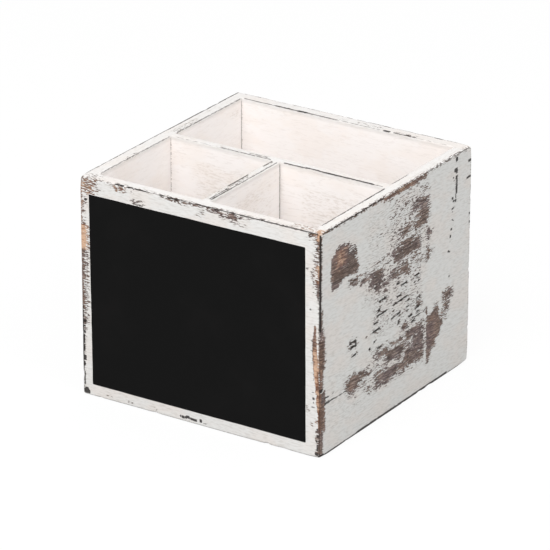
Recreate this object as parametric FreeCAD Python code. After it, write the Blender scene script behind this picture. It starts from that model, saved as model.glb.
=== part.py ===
import FreeCAD, Part
import os

# Caddy for cutlery: an open box of painted boards, parted into two front compartments and a rear one,
# with a black writing panel on the front. The front faces -Y, and the box stands on z = 0 with its
# outline centred on the origin.

# Outside of the box
WIDTH = 152.0
DEPTH = 152.0
HEIGHT = 127.0

# Boards
WALL_THICKNESS = 7.5
DIVIDER_THICKNESS = 5.0
BASE_THICKNESS = 6.0
FRONT_COMPARTMENT_DEPTH = 67.0

# Arrises, eased by hand after the boards are joined
OUTER_ARRIS_RADIUS = 1.2
MOUTH_ARRIS_RADIUS = 0.8
LARGEST_ARRIS_SHARE = 0.4

# Writing panel, flush with the front
PANEL_MARGIN_LEFT = 6.0
PANEL_MARGIN_RIGHT = 9.5
PANEL_MARGIN_TOP = 9.5
PANEL_MARGIN_BOTTOM = 7.0
PANEL_CORNER_RADIUS = 0.8
PANEL_COAT_THICKNESS = 0.3

# Brads, with their heads sunk below the face and filled over
BRAD_LENGTH = 20.0
BRAD_WIRE_WIDTH = 1.25
BRAD_WIRE_THICKNESS = 1.0
BRAD_HEAD_WIDTH = 2.0
BRAD_HEAD_DEPTH = 0.6
BRAD_POINT_LENGTH = 1.6
BRAD_SINK = 1.0
BRAD_HOLE_CLEARANCE = 0.05
CORNER_BRAD_COUNT = 3
CORNER_BRAD_INSET = 18.0
BASE_BRAD_COUNT = 2
BASE_BRAD_INSET = 34.0
DIVIDER_BRAD_COUNT = 2
DIVIDER_BRAD_INSET = 26.0

# Planes that the boards share
RIGHT = WIDTH / 2
BACK = DEPTH / 2
INNER_RIGHT = RIGHT - WALL_THICKNESS
INNER_BACK = BACK - WALL_THICKNESS
CENTRE_RIGHT = DIVIDER_THICKNESS / 2
CROSS_FRONT = FRONT_COMPARTMENT_DEPTH - INNER_BACK
CROSS_BACK = CROSS_FRONT + DIVIDER_THICKNESS

# Spans between those planes
ACROSS = (-RIGHT, RIGHT)
INSIDE_X = (-INNER_RIGHT, INNER_RIGHT)
INSIDE_Y = (-INNER_BACK, INNER_BACK)
UP = (0, HEIGHT)
ABOVE_BASE = (BASE_THICKNESS, HEIGHT)
COMPARTMENTS = {
    "front_left": ((-INNER_RIGHT, -CENTRE_RIGHT), (-INNER_BACK, CROSS_FRONT)),
    "front_right": ((CENTRE_RIGHT, INNER_RIGHT), (-INNER_BACK, CROSS_FRONT)),
    "rear": (INSIDE_X, (CROSS_BACK, INNER_BACK)),
}

TO_RIGHT = FreeCAD.Vector(1, 0, 0)
TO_BACK = FreeCAD.Vector(0, 1, 0)
UPWARD = FreeCAD.Vector(0, 0, 1)


def block(x_span, y_span, z_span):
    """Square-edged blank between two planes in each direction."""
    low, high = (FreeCAD.Vector(*corner) for corner in zip(x_span, y_span, z_span))
    size = high - low
    return Part.makeBox(size.x, size.y, size.z, low)


def arris(radius, thickness):
    """Radius of an eased arris, limited by the thickness of its board."""
    return min(radius, thickness * LARGEST_ARRIS_SHARE)


def middle(span):
    """Halfway between two planes."""
    return sum(span) / len(span)


def spread(count, low, high):
    """Even places from low to high, with one at each end."""
    step = (high - low) / (count - 1)
    return [low + step * place for place in range(count)]


def carcass():
    """Walls and dividers in one, so that each eased arris runs on across the joints between the boards."""
    body = block(ACROSS, (-BACK, BACK), UP)
    body = body.makeFillet(arris(OUTER_ARRIS_RADIUS, WALL_THICKNESS), body.Edges)
    body = body.cut(block(INSIDE_X, INSIDE_Y, (0, BASE_THICKNESS)))
    body = body.cut([block(*plan, ABOVE_BASE) for plan in COMPARTMENTS.values()]).removeSplitter()
    rim = max(body.Faces, key=lambda face: face.CenterOfMass.z)
    mouths = [wire for wire in rim.Wires if not wire.isSame(rim.OuterWire)]
    mouth_edges = [edge for wire in mouths for edge in wire.Edges]
    return body.makeFillet(arris(MOUTH_ARRIS_RADIUS, DIVIDER_THICKNESS), mouth_edges)


def boards():
    """The carcass parted at its joints. The front and back cover the ends of the sides."""
    whole = carcass()
    blanks = {
        "front_panel": block(ACROSS, (-BACK, -INNER_BACK), UP),
        "back_panel": block(ACROSS, (INNER_BACK, BACK), UP),
        "left_side": block((-RIGHT, -INNER_RIGHT), INSIDE_Y, UP),
        "right_side": block((INNER_RIGHT, RIGHT), INSIDE_Y, UP),
        "cross_divider": block(INSIDE_X, (CROSS_FRONT, CROSS_BACK), ABOVE_BASE),
        "centre_divider": block((-CENTRE_RIGHT, CENTRE_RIGHT), (-INNER_BACK, CROSS_FRONT), ABOVE_BASE),
    }
    pieces = {name: whole.common(blank) for name, blank in blanks.items()}
    pieces["base_panel"] = block(INSIDE_X, INSIDE_Y, (0, BASE_THICKNESS))
    pieces["front_panel"] = pieces["front_panel"].cut(chalkboard_coat())
    return pieces


def chalkboard_coat():
    """Black coat on the front, a thin plate with rounded corners and unequal margins."""
    x_span = (PANEL_MARGIN_LEFT - RIGHT, RIGHT - PANEL_MARGIN_RIGHT)
    z_span = (PANEL_MARGIN_BOTTOM, HEIGHT - PANEL_MARGIN_TOP)
    coat = block(x_span, (-BACK, PANEL_COAT_THICKNESS - BACK), z_span)
    corners = [edge for edge in coat.Edges if edge.Vertexes[0].Y != edge.Vertexes[1].Y]
    return coat.makeFillet(PANEL_CORNER_RADIUS, corners)


def brad_form(clearance):
    """One flat wire brad: a T outline with a chisel point, as thick as the wire, grown by a clearance."""
    head = BRAD_HEAD_WIDTH / 2 + clearance
    shank = BRAD_WIRE_WIDTH / 2 + clearance
    under_head = BRAD_HEAD_DEPTH + clearance
    wire = BRAD_WIRE_THICKNESS + clearance * 2
    shoulder = BRAD_LENGTH - BRAD_POINT_LENGTH
    half = [(head, -clearance), (head, under_head), (shank, under_head), (shank, shoulder)]
    outline = half + [(0, BRAD_LENGTH + clearance)] + [(-x, z) for x, z in reversed(half)]
    corners = [FreeCAD.Vector(x, -wire / 2, z) for x, z in outline]
    profile = Part.makePolygon(corners + corners[:1])
    return Part.Face(profile).extrude(TO_BACK * wire)


def driven(shape, on_face, inward):
    """A brad, or its hole, driven in from a point on a face until the head lies below that face."""
    turn = FreeCAD.Rotation(UPWARD, inward)
    return shape.transformed(FreeCAD.Placement(on_face + inward * BRAD_SINK, turn).toMatrix(), True)


def corner_places(y, inward):
    """Through the front or the back into the ends of both sides."""
    heights = spread(CORNER_BRAD_COUNT, CORNER_BRAD_INSET, HEIGHT - CORNER_BRAD_INSET)
    lines = (middle((-RIGHT, -INNER_RIGHT)), middle((INNER_RIGHT, RIGHT)))
    return [(FreeCAD.Vector(x, y, z), inward) for x in lines for z in heights]


def base_places():
    """Through the four walls into the edges of the base."""
    z = middle((0, BASE_THICKNESS))
    across = spread(BASE_BRAD_COUNT, BASE_BRAD_INSET - RIGHT, RIGHT - BASE_BRAD_INSET)
    along = spread(BASE_BRAD_COUNT, BASE_BRAD_INSET - BACK, BACK - BASE_BRAD_INSET)
    places = [(FreeCAD.Vector(x, -BACK, z), TO_BACK) for x in across]
    places += [(FreeCAD.Vector(x, BACK, z), -TO_BACK) for x in across]
    places += [(FreeCAD.Vector(-RIGHT, y, z), TO_RIGHT) for y in along]
    places += [(FreeCAD.Vector(RIGHT, y, z), -TO_RIGHT) for y in along]
    return places


def divider_heights():
    """Heights of the brads that hold a divider."""
    return spread(DIVIDER_BRAD_COUNT, BASE_THICKNESS + DIVIDER_BRAD_INSET, HEIGHT - DIVIDER_BRAD_INSET)


def cross_divider_places():
    """Through the sides into the ends of the cross divider."""
    y = middle((CROSS_FRONT, CROSS_BACK))
    left = [(FreeCAD.Vector(-RIGHT, y, z), TO_RIGHT) for z in divider_heights()]
    right = [(FreeCAD.Vector(RIGHT, y, z), -TO_RIGHT) for z in divider_heights()]
    return left + right


def centre_divider_places():
    """Through the front, and through the cross divider from behind, into the ends of the centre divider."""
    front = [(FreeCAD.Vector(0, -BACK, z), TO_BACK) for z in divider_heights()]
    rear = [(FreeCAD.Vector(0, CROSS_BACK, z), -TO_BACK) for z in divider_heights()]
    return front + rear


def main():
    """Drive every brad, cut its hole in the boards that it passes through, and write one file for each node."""
    places = {
        "front_corner_brads": corner_places(-BACK, TO_BACK),
        "back_corner_brads": corner_places(BACK, -TO_BACK),
        "base_brads": base_places(),
        "cross_divider_brads": cross_divider_places(),
        "centre_divider_brads": centre_divider_places(),
    }
    brad = brad_form(0)
    hole = brad_form(BRAD_HOLE_CLEARANCE)
    holes = [driven(hole, *place) for group in places.values() for place in group]
    nodes = {name: board.cut(holes).Solids[0] for name, board in boards().items()}
    nodes["chalkboard_coat"] = chalkboard_coat()
    for name, group in places.items():
        nodes[name] = Part.makeCompound([driven(brad, *place) for place in group])

    os.makedirs("parts", exist_ok=True)
    for name, shape in nodes.items():
        shape.exportStep(os.path.join("parts", name + ".step"))


main()
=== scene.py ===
import math

import bpy
import numpy as np
from mathutils import Matrix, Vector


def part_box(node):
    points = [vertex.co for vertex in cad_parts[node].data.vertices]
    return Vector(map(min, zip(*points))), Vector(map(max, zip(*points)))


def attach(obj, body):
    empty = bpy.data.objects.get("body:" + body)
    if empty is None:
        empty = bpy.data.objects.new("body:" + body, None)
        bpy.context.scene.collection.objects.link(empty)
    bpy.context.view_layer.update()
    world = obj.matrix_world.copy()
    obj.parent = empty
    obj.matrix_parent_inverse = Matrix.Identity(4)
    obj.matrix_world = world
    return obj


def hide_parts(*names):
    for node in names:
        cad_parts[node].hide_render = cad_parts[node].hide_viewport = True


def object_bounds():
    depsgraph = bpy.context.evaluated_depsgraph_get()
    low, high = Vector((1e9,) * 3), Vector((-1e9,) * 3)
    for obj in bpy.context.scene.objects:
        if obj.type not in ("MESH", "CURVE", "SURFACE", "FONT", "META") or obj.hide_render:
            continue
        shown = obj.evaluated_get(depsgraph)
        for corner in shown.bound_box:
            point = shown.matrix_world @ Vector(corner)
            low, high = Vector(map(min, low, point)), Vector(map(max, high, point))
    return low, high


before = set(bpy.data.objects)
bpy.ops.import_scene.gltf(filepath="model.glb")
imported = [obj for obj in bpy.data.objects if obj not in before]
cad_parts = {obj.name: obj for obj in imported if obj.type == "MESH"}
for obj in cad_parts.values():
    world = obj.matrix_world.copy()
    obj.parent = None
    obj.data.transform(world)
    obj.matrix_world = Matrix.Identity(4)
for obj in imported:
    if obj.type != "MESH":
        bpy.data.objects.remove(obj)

# Worn white caddy with a chalkboard front. Sizes and places are in millimetres, and MM makes them metres.
MM = 0.001
TINY = 1e-6
ACROSS, BACKWARD, UPWARD = 0, 1, 2
CAD_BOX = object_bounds()
LOW, HIGH = (np.array(corner) / MM for corner in CAD_BOX)
WIDTH, DEPTH, HEIGHT = HIGH - LOW
FRONT_LEFT_FOOT = LOW
FRONT_RIGHT_FOOT = np.array([HIGH[ACROSS], LOW[BACKWARD], LOW[UPWARD]])
BACK_LEFT_FOOT = np.array([LOW[ACROSS], HIGH[BACKWARD], LOW[UPWARD]])
FRONT_LEFT_RIM = np.array([LOW[ACROSS], LOW[BACKWARD], HIGH[UPWARD]])


def box_of(node):
    """Lowest and highest corner of a solid, in millimetres."""
    low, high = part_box(node)
    return np.array(low) / MM, np.array(high) / MM


# Shared planes of the boards
INNER_LEFT = box_of("left_side")[1][ACROSS]
INNER_RIGHT = box_of("right_side")[0][ACROSS]
INNER_FRONT = box_of("front_panel")[1][BACKWARD]
INNER_BACK = box_of("back_panel")[0][BACKWARD]
CENTRE_LEFT, CENTRE_RIGHT = (corner[ACROSS] for corner in box_of("centre_divider"))
CROSS_FRONT, CROSS_BACK = (corner[BACKWARD] for corner in box_of("cross_divider"))
MOUTHS = (
    ((INNER_LEFT, INNER_FRONT), (CENTRE_LEFT, CROSS_FRONT)),
    ((CENTRE_RIGHT, INNER_FRONT), (INNER_RIGHT, CROSS_FRONT)),
    ((INNER_LEFT, CROSS_BACK), (INNER_RIGHT, INNER_BACK)),
)

# Eased arrises
ARRIS_RADIUS = 1.0
ARRIS_RIPPLE = 0.2
ARRIS_RIPPLE_LENGTH = 26.0
ARRIS_SEED = 3
RIPPLE_SPREAD = (0.7, 1.5)
MOUTH_RADIUS = 0.8
KNOCKED_CORNERS = (
    # Right, back and upper end or not, extra radius, reach
    ((0, 0, 1), 1.1, 5.0),
    ((1, 1, 0), 0.9, 7.0),
    ((1, 0, 0), 1.0, 5.0),
    ((1, 0, 1), 0.6, 5.0),
    ((1, 1, 1), 0.9, 5.0),
)
SMOOTH_ANGLE = math.radians(38)

# Nicks in the arrises: least and most share of the way along, reach, and depth as a share of the reach
NICK_COUNT = 70
NICK_SEED = 11
NICK_WAY = (0.03, 0.97)
NICK_REACH = (1.0, 3.2)
NICK_DEPTH = (0.06, 0.15)

# Grids of the boards
EDGE_STEP = 0.14
EDGE_GROWTH = 0.22
LINE_SAMPLES = 6000
WELD_DIGITS = 5

# Grain: its rise towards the back on the right side, and how far apart the boards and their faces lie in it
GRAIN_SLANT = 0.06
GRAIN_APART = 500
GRAIN_INSIDE = 40

# Painted light: how far the paint is drawn from its greyer, shaded outer tone at 0 to its lighter inner tone
# at 1, and the depth below the rim where the inside begins
RIM_PAINTED_LIGHT = 0.48
FRONT_PAINTED_LIGHT = 0.24
MOUTH_FADE = 3.0

# Strokes of rubbing and dirt, some of the dark ones painted shade
FACE_REACH = 1.0
LINE_REACH = 0.3
SOFT_SHARE = 0.8
SOFT_LEAST = 0.3
STREAK_RUB = 0.82
STREAK_DIRT = 0.78
SURVEY_SHRINK = 0.9956
# Middle of the view on the plane of the right side, measured like its rows
RIGHT_MIDDLE = (-43.3, 120.2)

# Distance over which a stroke fades, in x, y and z
SOFT_SIDE = (1, 4.2, 1.8)
SOFT_BACK = (4.2, 1, 1.8)
SOFT_PATCH = (1, 1.5, 1.0)
SOFT_ARRIS = (1, 1.2, 1.2)
SOFT_FRONT = (2.2, 1, 1)
SOFT_STRIP = (0.6, 1, 1.6)
SOFT_RIM = (1, 1, 1)
SOFT_LINE = (0.55, 0.55, 0.55)
SOFT_SPLIT = (1, 1.2, 1.6)

# Sides that don't show
KEPT_SHARE = 0.72
SHIFT_MOST = 4.0
LEFT_SEED = 21
LEFT_EDGE_SEED = 22
BACK_SEED = 34
BACK_EDGE_SEED = 35

# Rubs on their edges: first place, room left at the end and pitch, and then the least and most of each size
UPRIGHT_PLACES = (4, 8, 15)
LEVEL_PLACES = (6, 12, 21)
EDGE_OUT = 1
UPRIGHT_REACH = (0.4, 3)
UPRIGHT_LENGTH = (6, 14)
LEVEL_REACH = (0.6, 3)
LEVEL_LENGTH = (8, 20)
EDGE_STRENGTH = (0.5, 0.85)
RIM_STRENGTH = (0.5, 0.8)


# Shapes

def ripple(points, wavelength, seed, waves=9):
    """Seeded unevenness of about -1 to 1: the scaled sum of sine waves that run in random directions."""
    rng = np.random.default_rng(seed)
    heading = rng.normal(size=(waves, 3))
    heading /= np.linalg.norm(heading, axis=1, keepdims=True)
    length = wavelength * rng.uniform(*RIPPLE_SPREAD, waves)
    phase = rng.uniform(0, 2 * math.pi, waves)
    turns = points @ (heading / length[:, None]).T
    return np.sin(2 * math.pi * turns + phase).sum(axis=1) / math.sqrt(waves * 2)


def grid_lines(low, high, step, zones=()):
    """Places from low to high that crowd together towards both ends.

    They lie one step apart, or a zone's finer step. The spacing is integrated along the span, and the lines
    are the places where that count reaches whole shares.
    """
    place = np.linspace(low, high, LINE_SAMPLES)
    spacing = np.full_like(place, step)
    for start, end, fine in zones:
        spacing[(place > start) & (place < end)] = fine
    to_end = np.minimum(place - low, high - place)
    spacing = np.minimum(spacing, EDGE_STEP + EDGE_GROWTH * to_end)
    count = np.append(0, np.cumsum(np.diff(place) / spacing[:-1]))
    return np.interp(np.linspace(0, count[-1], math.ceil(count[-1]) + 1), count, place)


def box_surface(lines):
    """Closed box from three sets of grid lines.

    On each face two coordinates run over their lines and one is held.
    """
    faces, quads, start = [], [], 0
    for axis in (ACROSS, BACKWARD, UPWARD):
        first, second = (axis + 1) % 3, (axis + 2) % 3
        for end in (0, -1):
            along, over = np.meshgrid(lines[first], lines[second], indexing="ij")
            face = np.empty(along.shape + (3,))
            face[..., first] = along
            face[..., second] = over
            face[..., axis] = lines[axis][end]
            index = start + np.arange(along.size).reshape(along.shape)
            ring = [index[:-1, :-1], index[1:, :-1], index[1:, 1:], index[:-1, 1:]]
            if end == 0:
                ring.reverse()
            faces.append(face.reshape(-1, 3))
            quads.append(np.stack(ring, axis=-1).reshape(-1, 4))
            start += along.size
    points = np.concatenate(faces)
    places = points.round(WELD_DIGITS)
    _, first_use, welded = np.unique(places, axis=0, return_index=True, return_inverse=True)
    return points[first_use], welded.reshape(-1)[np.concatenate(quads)]


def rounded_off(points, low, high, radius):
    """Points of a box with its edges and corners rounded, and the direction out of its core at each.

    Within one radius of the faces a point's offset from the core is scaled by its largest part over its
    length, which bends a square edge or corner into a round one.
    """
    core = np.clip(points, low + radius, high - radius)
    offset = points - core
    outward = offset / np.maximum(np.linalg.norm(offset, axis=1, keepdims=True), TINY)
    return core + outward * np.abs(offset).max(axis=1, keepdims=True), outward


def nicks():
    """Seeded places of small knocks on the twelve outer arrises, with their reach and depth."""
    rng = np.random.default_rng(NICK_SEED)
    corner = rng.integers(0, 2, (NICK_COUNT, 3))
    place = np.where(corner == 1, HIGH, LOW)
    along = rng.integers(0, 3, NICK_COUNT)
    rows = np.arange(NICK_COUNT)
    place[rows, along] = LOW[along] + rng.uniform(*NICK_WAY, NICK_COUNT) * (HIGH - LOW)[along]
    reach = rng.uniform(*NICK_REACH, NICK_COUNT)
    return place, reach, reach * rng.uniform(*NICK_DEPTH, NICK_COUNT)


def eased(points):
    """The joined box's arrises rounded, on points of the square-edged box.

    The radius ripples along the arris and grows at the knocked corners by a bell curve. A nick then presses
    the surface in by its depth times the square of one less the squared share of its reach.
    """
    radius = ARRIS_RADIUS + ARRIS_RIPPLE * ripple(points, ARRIS_RIPPLE_LENGTH, ARRIS_SEED)
    for end, extra, reach in KNOCKED_CORNERS:
        share = np.linalg.norm(points - np.where(end, HIGH, LOW), axis=1) / reach
        radius += extra * np.exp(-(share**2))
    moved, outward = rounded_off(points, LOW, HIGH, radius[:, None])
    for place, reach, depth in zip(*nicks()):
        share = np.linalg.norm(points - place, axis=1) / reach
        moved -= outward * (depth * np.clip(1 - share**2, 0, 1) ** 2)[:, None]
    return moved


def mouths_eased(points, moved):
    """The same rounding for the upper edges of the compartments, with a small radius.

    The distance out of a mouth in plan and the depth below the rim take the place of the two offsets.
    """
    for low, high in MOUTHS:
        low, high = np.array(low), np.array(high)
        plan = points[:, :UPWARD]
        outside = np.maximum(low - plan, plan - high)
        side = outside.max(axis=1)
        drop = HIGH[UPWARD] - points[:, UPWARD]
        near = np.flatnonzero((side > -TINY) & (side < MOUTH_RADIUS) & (drop < MOUTH_RADIUS))
        inward = MOUTH_RADIUS - np.stack([side[near], drop[near]], axis=1)
        shrink = 1 - inward.max(axis=1) / np.linalg.norm(inward, axis=1)
        axis = outside[near].argmax(axis=1)
        away = np.sign(plan[near, axis] - ((low + high) / 2)[axis])
        moved[near, axis] += away * inward[:, 0] * shrink
        moved[near, UPWARD] -= inward[:, 1] * shrink
    return moved


def round_the_box(points):
    """Distance round the outside of the box from the middle of the front.

    It runs along x, then along y, then back along x.
    """
    x, y, _ = points.T
    right = np.isclose(x, HIGH[ACROSS])
    left = np.isclose(x, LOW[ACROSS])
    back = y > INNER_BACK - TINY
    way = np.where(back, WIDTH + DEPTH - x, x)
    way = np.where(right, HIGH[ACROSS] + y - LOW[BACKWARD], way)
    return np.where(left, LOW[ACROSS] - y + LOW[BACKWARD], way)


def grain_place(points, thin):
    """Where a point lies in the grain: distance along the board, height carried on over the rim, and depth.

    Outside faces share one unrolled strip, so that the pattern runs on across the joints.
    """
    outside = np.isclose(points, LOW).any(axis=1) | np.isclose(points, HIGH).any(axis=1)
    middle = (points[:, thin].min() + points[:, thin].max()) / 2
    rim = np.isclose(points[:, UPWARD], HIGH[UPWARD]) | np.isclose(points[:, UPWARD], LOW[UPWARD])
    over = np.where(rim, points[:, thin] - middle, 0)
    along = points[:, BACKWARD if thin == ACROSS else ACROSS]
    way = np.where(outside & ~rim, round_the_box(points), along + GRAIN_APART * (thin + 1))
    depth = np.where(outside, 0, GRAIN_INSIDE + middle)
    right = np.isclose(points[:, ACROSS], HIGH[ACROSS])
    slant = np.where(right, GRAIN_SLANT * (points[:, BACKWARD] - LOW[BACKWARD]), 0)
    up = points[:, BACKWARD] if thin == UPWARD else points[:, UPWARD] + over + slant
    return np.stack([way, up, depth], axis=1)


# Rubs and dirt, with some painted shade among the dark strokes, as soft strokes on the faces. A row gives
# start and end along the face, start and end across it, and its strength, which is 1 where none is given. On
# the right
# side: from the front edge, and up. On the front: from the left edge, and up. On the rim: from the left
# edge, and from the front edge. Half the surface is bare at a strength of 0.5, and nearly all of it at 1.

ROUND_PATCH = [
    (17.5, 23.5, 113, 114.8, 1.3), (14.5, 27.6, 111.2, 113.4, 1.3), (12, 29.5, 109.6, 111.6, 1.3),
    (28, 33.5, 110.2, 111.2, 0.9), (10.4, 27.5, 106, 110, 1.4), (26, 34.5, 107, 109, 0.95),
    (10.2, 33, 101.5, 106.5, 1.4), (26, 35.2, 104, 108, 1), (10.4, 36, 97.8, 102, 1.4),
    (10.9, 37.2, 95, 98.4, 1.4), (11.2, 20.5, 93.2, 95.5, 1.3), (11.3, 17.6, 91.6, 93.8, 1.3),
    (30, 36.5, 93.8, 95.4, 0.9),
]
RIGHT_RUBS = [
    # Band that runs back and down from the round patch
    (29, 37.5, 88.5, 91.5, 1.15), (30.5, 37, 86.6, 89, 0.9), (36, 45, 89.8, 90.8, 0.8),
    (39, 50, 85, 87.6, 1.15), (42.5, 48, 86, 89, 1), (45, 52, 79.5, 82.5, 0.6), (48, 62, 84, 88, 1.15),
    (50.5, 54, 88, 89.5, 0.7), (57, 63.5, 86.5, 88.5, 0.6), (50, 61.5, 79.5, 85, 1.4),
    (53.5, 60, 75.5, 80, 1.25), (50, 54, 76, 78, 0.6), (60, 67, 75.8, 78.6), (61, 65, 78, 83, 0.5),
    (57, 60, 73.2, 75.2, 0.9), (62, 66.5, 71.8, 74, 0.95), (54, 63, 91.3, 92.4, 0.9),
    (65.5, 69.5, 92, 93.2, 0.85), (68, 72, 88.4, 89.6, 0.85),
    # Upper cloud
    (76, 80, 102.4, 104, 0.8), (75, 81, 101, 105, 0.6), (78.5, 90.5, 99, 102.8, 1.15),
    (83.5, 90.5, 101.8, 104, 0.9), (75, 90, 97.2, 100, 0.8), (90, 95, 99.5, 101.5, 0.7),
    (93.5, 106, 98, 102.5, 1.3), (98, 107.5, 100, 111, 1.25), (95, 107.5, 103, 106.5),
    (92.5, 97, 104.8, 106, 0.6), (90, 95, 108, 114.5, 0.9), (94.5, 106.5, 109.5, 113, 1.3),
    (95, 103, 112, 115.2), (100, 107, 113.8, 115, 0.4), (88.5, 92, 110.5, 113, 0.6),
    (80, 89.5, 115.4, 116.8, 0.85), (82, 85, 109, 110.2, 0.6), (87.5, 89, 106, 107.2, 0.7),
    (82, 84, 112.4, 113.4, 0.55), (102.5, 107, 117.5, 120, 0.8), (106.5, 109.5, 115.8, 117.5, 0.5),
    (95, 104, 116.5, 119, 0.35), (83, 88, 119.4, 120.4, 0.4), (86, 88.5, 120, 123, 0.5),
    # Middle cloud
    (71, 82, 89.6, 93.6, 1.25), (73.5, 82, 85.5, 90.5, 1.3), (80, 92, 86, 95, 1.4),
    (90, 99.5, 85.6, 92.5, 1.3), (94, 100.5, 87.5, 91), (91, 99.5, 93.6, 95.6, 0.75),
    (96, 100, 94.5, 96.5, 0.5), (73.5, 77, 94, 97, 0.55), (100, 105, 89.6, 90.6, 0.4),
    (105.6, 112, 89.6, 92, 1.05), (105.6, 110, 91.5, 95, 0.9), (106, 109, 87.4, 89.5, 1.05),
    (105.8, 111, 84.8, 85.6, 0.9), (105.8, 109, 81, 84.8, 0.95), (105.4, 113.2, 78.8, 80.6, 1),
    (105.4, 110, 76, 79.5, 1), (106, 108.5, 74.8, 76.5, 0.7), (67.8, 77, 77, 80.6, 1.2),
    (69, 76, 80, 83.2, 1), (78, 88, 80.5, 84, 0.85), (79.5, 87.5, 76.5, 81.2, 1.3), (84, 90, 74.5, 78),
    (87, 93.5, 77.4, 79, 0.6), (90, 99, 81, 83.6, 0.75), (93, 97.5, 83.8, 85.2, 0.75),
    (95, 102, 77.6, 79.8, 0.8), (86.5, 89, 73.4, 75, 0.8), (90, 93.5, 73.2, 74.4, 0.5),
    (85, 89, 82.5, 84.5, 0.6),
    # Lower patch
    (26, 40, 29.5, 34.5, 1.35), (29, 34, 33.5, 36.5), (38, 46, 30.5, 34.5, 1.2), (44, 50, 30, 32.2, 1.1),
    (27.5, 38, 27, 30.5, 1.25), (29, 34, 25, 28), (38, 45, 25.5, 29, 0.75), (35, 39, 25, 26.4, 0.7),
    (45, 50, 33.8, 35.6, 0.65), (27, 33, 22.8, 25.5, 0.5), (33, 36, 21.4, 22.6, 0.6),
    (44, 50, 22, 23.6, 1.05), (44.5, 47.5, 20.8, 22.4, 0.7), (48, 54, 25.5, 28.5, 0.4),
    (30, 44, 17, 18.6, 0.3),
    # Lower band
    (55, 68, 35.4, 39.6, 1.1), (54.5, 60, 31.4, 32.8, 0.7), (62, 65, 30.8, 33, 0.75),
    (66, 85, 30.4, 36, 1.4), (70, 84, 37.5, 40.4, 0.9), (53, 58, 25.5, 28, 0.8), (55, 68, 26, 28.8, 0.9),
    (56, 78, 20.3, 26, 1.4), (50, 60, 18.6, 20.2), (60, 73, 18.4, 21, 1.1), (65, 68, 17, 19, 0.8),
    (84, 90.5, 31.2, 34, 1.05), (85, 104, 35.8, 41, 1.2), (95.5, 100, 40, 42.6, 0.85),
    (101, 104.5, 40.4, 42, 0.8), (92.8, 104, 29.5, 36, 1.4), (104, 106.5, 34.6, 35.8, 0.8),
    (85, 104, 24.5, 30, 1.4), (76, 81, 26, 30, 0.9), (76, 104, 20.8, 25, 1.25), (78, 86, 18.2, 21, 0.8),
    (80.5, 84.5, 17.4, 18.8, 0.7), (85, 96, 19.2, 22, 0.8), (96, 103.5, 18.6, 22),
    (103, 107.5, 26.8, 28.4, 0.9), (95.5, 102, 51.5, 56.5, 0.85), (81, 89, 43, 47, 0.98),
    # Marks behind the upright patch
    (125, 133.5, 45.5, 50.2, 1.3), (128, 131.5, 50.8, 52.2, 0.95), (125, 131, 40.5, 45.5),
    (123, 131, 38.4, 41, 0.9), (121.5, 125, 37.5, 39.8, 0.7), (124, 129.4, 34.2, 37.8, 0.8),
    (124, 127, 47, 48.5, 0.8),
    # Faint scatter round all of these
    (50, 104, 48, 74, 0.22), (66, 107, 94, 123, 0.27), (62, 104, 72, 98, 0.28), (48, 106, 16, 44, 0.24),
    (44, 68, 94, 122, 0.16), (40, 66, 70, 96, 0.2), (6, 50, 10, 46, 0.1),
]
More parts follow.
